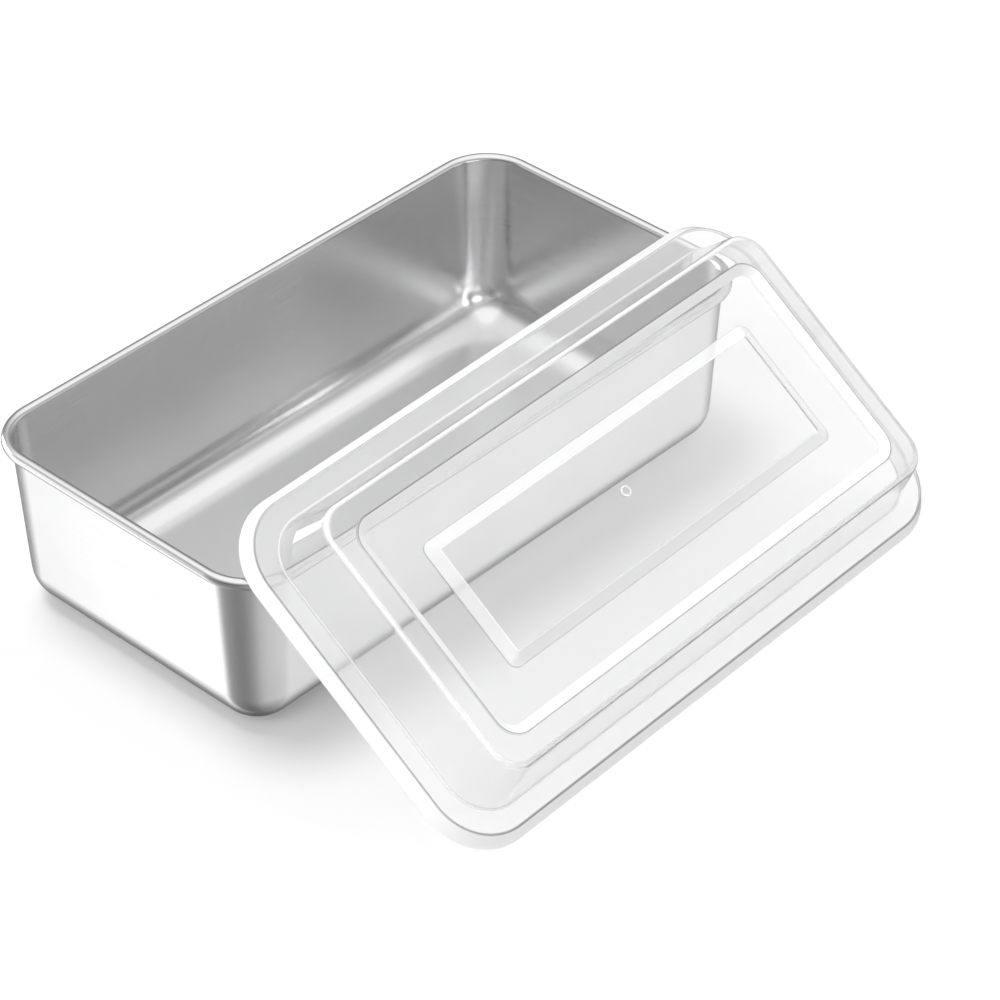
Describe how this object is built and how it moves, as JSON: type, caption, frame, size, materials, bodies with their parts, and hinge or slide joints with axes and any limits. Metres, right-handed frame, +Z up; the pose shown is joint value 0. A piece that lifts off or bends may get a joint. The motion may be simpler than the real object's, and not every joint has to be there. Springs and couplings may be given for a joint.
{
  "type": "loaf pan with lid",
  "caption": "Rectangular drawn steel loaf pan with a rolled rim and a loose clear plastic domed lid leaning on its front rim.",
  "frame": {"origin": "middle of the pan's flat base, on the table", "axes": "+X along the pan's long side, +Y from the leaning lid to the back of the pan, +Z up"},
  "size_m": [0.2614, 0.2211, 0.0923],
  "materials": {
    "stainless_steel": "bright satin",
    "clear_plastic": "clear, slightly hazy"
  },
  "bodies": {
    "pan": {"pan": "stainless_steel"},
    "lid": {"lid": "clear_plastic"}
  },
  "joints": [
    {"name": "lid_lift", "type": "slide", "parent": "pan", "child": "lid", "axis": [0, 0, 1], "range_m": [0, 0.15]}
  ]
}
